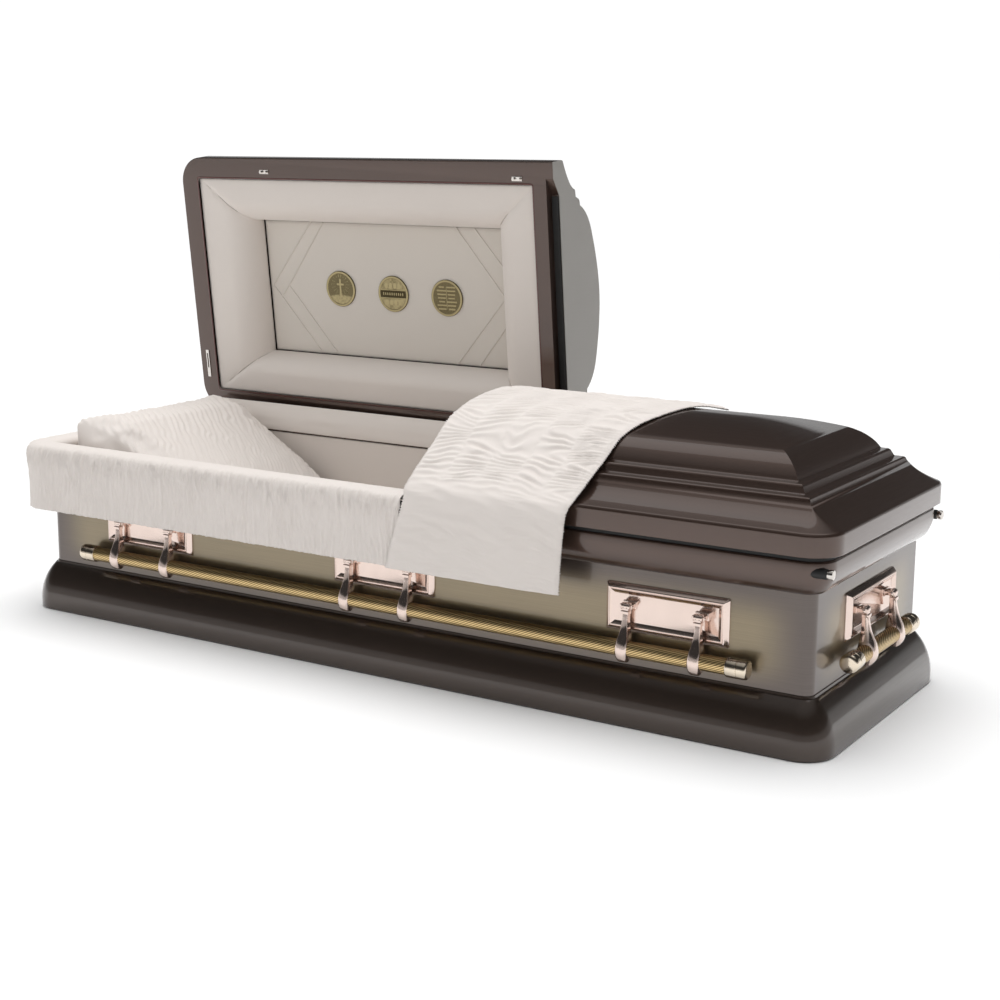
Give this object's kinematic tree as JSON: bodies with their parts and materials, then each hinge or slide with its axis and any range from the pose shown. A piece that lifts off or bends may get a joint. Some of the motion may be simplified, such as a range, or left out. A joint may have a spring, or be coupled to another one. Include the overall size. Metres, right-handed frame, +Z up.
{
  "type": "funeral casket",
  "caption": "Sheet-metal funeral casket with a half-open domed lid, moulded base, swing-bar handles, padded pale lining, a shirred apron and a throw over the closed foot lid",
  "frame": {"origin": "centre of the underside of the bottom pan, on the floor", "axes": "+X along the length to the foot end, +Y to the hinge side, +Z up"},
  "size_m": [2.1247, 0.869, 1.1068],
  "materials": {
    "base_paint": "gloss espresso brown, clear coat",
    "lid_paint": "gloss dark brown, clear coat",
    "body_bronze": "brushed bronze, shaded at the edges",
    "plate_grey": "satin grey",
    "rose_gold": "polished rose gold plate",
    "bar_gold": "knurled satin gold",
    "chrome": "polished",
    "antique_brass": "antiqued relief",
    "black_rubber": "matte",
    "crepe_cloth": "shirred crepe",
    "lining_cloth": "plain crepe"
  },
  "bodies": {
    "casket": {"body_shell": "body_bronze", "bottom_pan": "body_bronze", "base_moulding": "base_paint", "top_moulding": "lid_paint", "rim_gasket": "black_rubber", "lid_pin_front": "chrome", "lid_pin_back": "chrome", "hinge_rail": "lid_paint", "mattress": "lining_cloth", "side_lining": "lining_cloth", "hinge_side_lining": "lining_cloth", "pillow": "crepe_cloth", "apron": "crepe_cloth", "escutcheon_front_1": "rose_gold", "escutcheon_front_2": "rose_gold", "escutcheon_front_3": "rose_gold", "escutcheon_back_1": "rose_gold", "escutcheon_back_2": "rose_gold", "escutcheon_back_3": "rose_gold", "escutcheon_foot_end_1": "rose_gold", "escutcheon_head_end_1": "rose_gold"},
    "head_lid": {"head_lid_shell": "lid_paint", "head_lid_header_rail": "lid_paint", "head_lid_end_plate": "plate_grey", "head_lid_gasket": "black_rubber", "head_lid_hinge_leaf": "lid_paint", "cap_roll_frame": "lining_cloth", "cap_panel": "lining_cloth", "medallion_1": "antique_brass", "medallion_2": "antique_brass", "medallion_3": "antique_brass", "catch_studs_left": "chrome", "catch_studs_right": "chrome", "lid_latch": "chrome"},
    "foot_lid": {"foot_lid_shell": "lid_paint", "foot_lid_end_plate": "plate_grey", "foot_lid_hinge_leaf": "lid_paint", "foot_lid_panel": "lining_cloth", "throw": "crepe_cloth"},
    "bar_front": {"bar_front": "bar_gold", "arm_front_1": "rose_gold", "arm_front_2": "rose_gold", "arm_front_3": "rose_gold", "arm_front_4": "rose_gold", "arm_front_5": "rose_gold", "arm_front_6": "rose_gold"},
    "bar_back": {"bar_back": "bar_gold", "arm_back_1": "rose_gold", "arm_back_2": "rose_gold", "arm_back_3": "rose_gold", "arm_back_4": "rose_gold", "arm_back_5": "rose_gold", "arm_back_6": "rose_gold"},
    "bar_foot_end": {"bar_foot_end": "bar_gold", "arm_foot_end_1": "rose_gold", "arm_foot_end_2": "rose_gold"},
    "bar_head_end": {"bar_head_end": "bar_gold", "arm_head_end_1": "rose_gold", "arm_head_end_2": "rose_gold"}
  },
  "joints": [
    {"name": "head_lid_hinge", "type": "hinge", "parent": "casket", "child": "head_lid", "pos_m": [0, 0.3506, 0.4156], "axis": [1, 0, 0], "range_deg": [0, 83.5], "deforming": ["apron", "pillow", "hinge_side_lining"]},
    {"name": "foot_lid_hinge", "type": "hinge", "parent": "casket", "child": "foot_lid", "pos_m": [0, 0.3506, 0.4156], "axis": [-1, 0, 0], "range_deg": [0, 83.5]},
    {"name": "bar_front_swing", "type": "hinge", "parent": "casket", "child": "bar_front", "pos_m": [0.01, -0.3192, 0.245], "axis": [-1, 0, 0], "range_deg": [0, 80]},
    {"name": "bar_back_swing", "type": "hinge", "parent": "casket", "child": "bar_back", "pos_m": [0.01, 0.3192, 0.245], "axis": [1, 0, 0], "range_deg": [0, 80]},
    {"name": "bar_foot_end_swing", "type": "hinge", "parent": "casket", "child": "bar_foot_end", "pos_m": [1.0267, 0, 0.245], "axis": [0, -1, 0], "range_deg": [0, 80]},
    {"name": "bar_head_end_swing", "type": "hinge", "parent": "casket", "child": "bar_head_end", "pos_m": [-1.0267, 0, 0.245], "axis": [0, 1, 0], "range_deg": [0, 80]}
  ]
}
